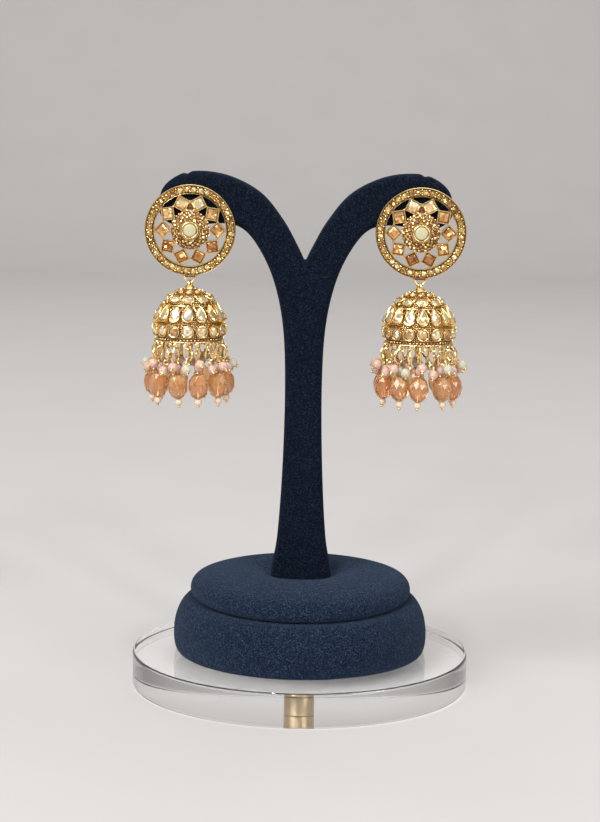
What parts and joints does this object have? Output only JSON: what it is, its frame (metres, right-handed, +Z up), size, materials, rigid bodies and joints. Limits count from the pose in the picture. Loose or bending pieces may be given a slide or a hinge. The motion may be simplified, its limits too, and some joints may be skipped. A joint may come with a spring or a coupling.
{
  "type": "pair of jhumka earrings on a velvet earring stand",
  "caption": "Bell-shaped jhumka earrings with pierced stone-set discs and fringes of glass drops, hooked on a padded Y-shaped velvet stand with a clear round plate.",
  "frame": {"origin": "centre of the clear plate's underside, on the surface that the stand rests on", "axes": "+Z up along the stand's neck, the front of the earrings faces -Y, +X to the viewer's right from the front"},
  "size_m": [0.1, 0.1, 0.1518],
  "materials": {
    "clear_acrylic": "polished clear acrylic",
    "brass_pin": "satin champagne brass",
    "navy_velvet": "short-pile velvet",
    "antique_gold": "antique gold plate, darkened in the recesses",
    "mint_stone": "opaque polished cabochon",
    "blush_beads": "frosted faceted glass",
    "amber_glass": "faceted amber glass",
    "pearl_pins": "gold-plated head pins strung with small pearls"
  },
  "bodies": {
    "stand": {"acrylic_plate": "clear_acrylic", "foot_pin": "brass_pin", "base_cushion": "navy_velvet", "top_pad": "navy_velvet", "stand_neck": "navy_velvet", "left_ear_disc": "antique_gold", "left_centre_stone": "mint_stone", "left_clutch": "brass_pin", "right_ear_disc": "antique_gold", "right_centre_stone": "mint_stone", "right_clutch": "brass_pin"},
    "left_bell": {"left_dome": "antique_gold", "left_rim_hooks": "antique_gold", "left_small_beads": "blush_beads", "left_drop_bead_01": "amber_glass", "left_drop_bead_02": "amber_glass", "left_drop_bead_03": "amber_glass", "left_drop_bead_04": "amber_glass", "left_drop_bead_05": "amber_glass", "left_drop_bead_06": "amber_glass", "left_drop_bead_07": "amber_glass", "left_drop_bead_08": "amber_glass", "left_drop_bead_09": "amber_glass", "left_drop_bead_10": "amber_glass", "left_drop_pin_01": "pearl_pins", "left_drop_pin_02": "pearl_pins", "left_drop_pin_03": "pearl_pins", "left_drop_pin_04": "pearl_pins", "left_drop_pin_05": "pearl_pins", "left_drop_pin_06": "pearl_pins", "left_drop_pin_07": "pearl_pins", "left_drop_pin_08": "pearl_pins", "left_drop_pin_09": "pearl_pins", "left_drop_pin_10": "pearl_pins"},
    "right_bell": {"right_dome": "antique_gold", "right_rim_hooks": "antique_gold", "right_small_beads": "blush_beads", "right_drop_bead_01": "amber_glass", "right_drop_bead_02": "amber_glass", "right_drop_bead_03": "amber_glass", "right_drop_bead_04": "amber_glass", "right_drop_bead_05": "amber_glass", "right_drop_bead_06": "amber_glass", "right_drop_bead_07": "amber_glass", "right_drop_bead_08": "amber_glass", "right_drop_bead_09": "amber_glass", "right_drop_bead_10": "amber_glass", "right_drop_pin_01": "pearl_pins", "right_drop_pin_02": "pearl_pins", "right_drop_pin_03": "pearl_pins", "right_drop_pin_04": "pearl_pins", "right_drop_pin_05": "pearl_pins", "right_drop_pin_06": "pearl_pins", "right_drop_pin_07": "pearl_pins", "right_drop_pin_08": "pearl_pins", "right_drop_pin_09": "pearl_pins", "right_drop_pin_10": "pearl_pins"}
  },
  "joints": [
    {"name": "left_bell_swing", "type": "hinge", "parent": "stand", "child": "left_bell", "pos_m": [-0.0333, -0.0065, 0.1199], "axis": [1, 0, 0], "range_deg": [-60, 60]},
    {"name": "right_bell_swing", "type": "hinge", "parent": "stand", "child": "right_bell", "pos_m": [0.0333, -0.0065, 0.1199], "axis": [1, 0, 0], "range_deg": [-60, 60]}
  ]
}
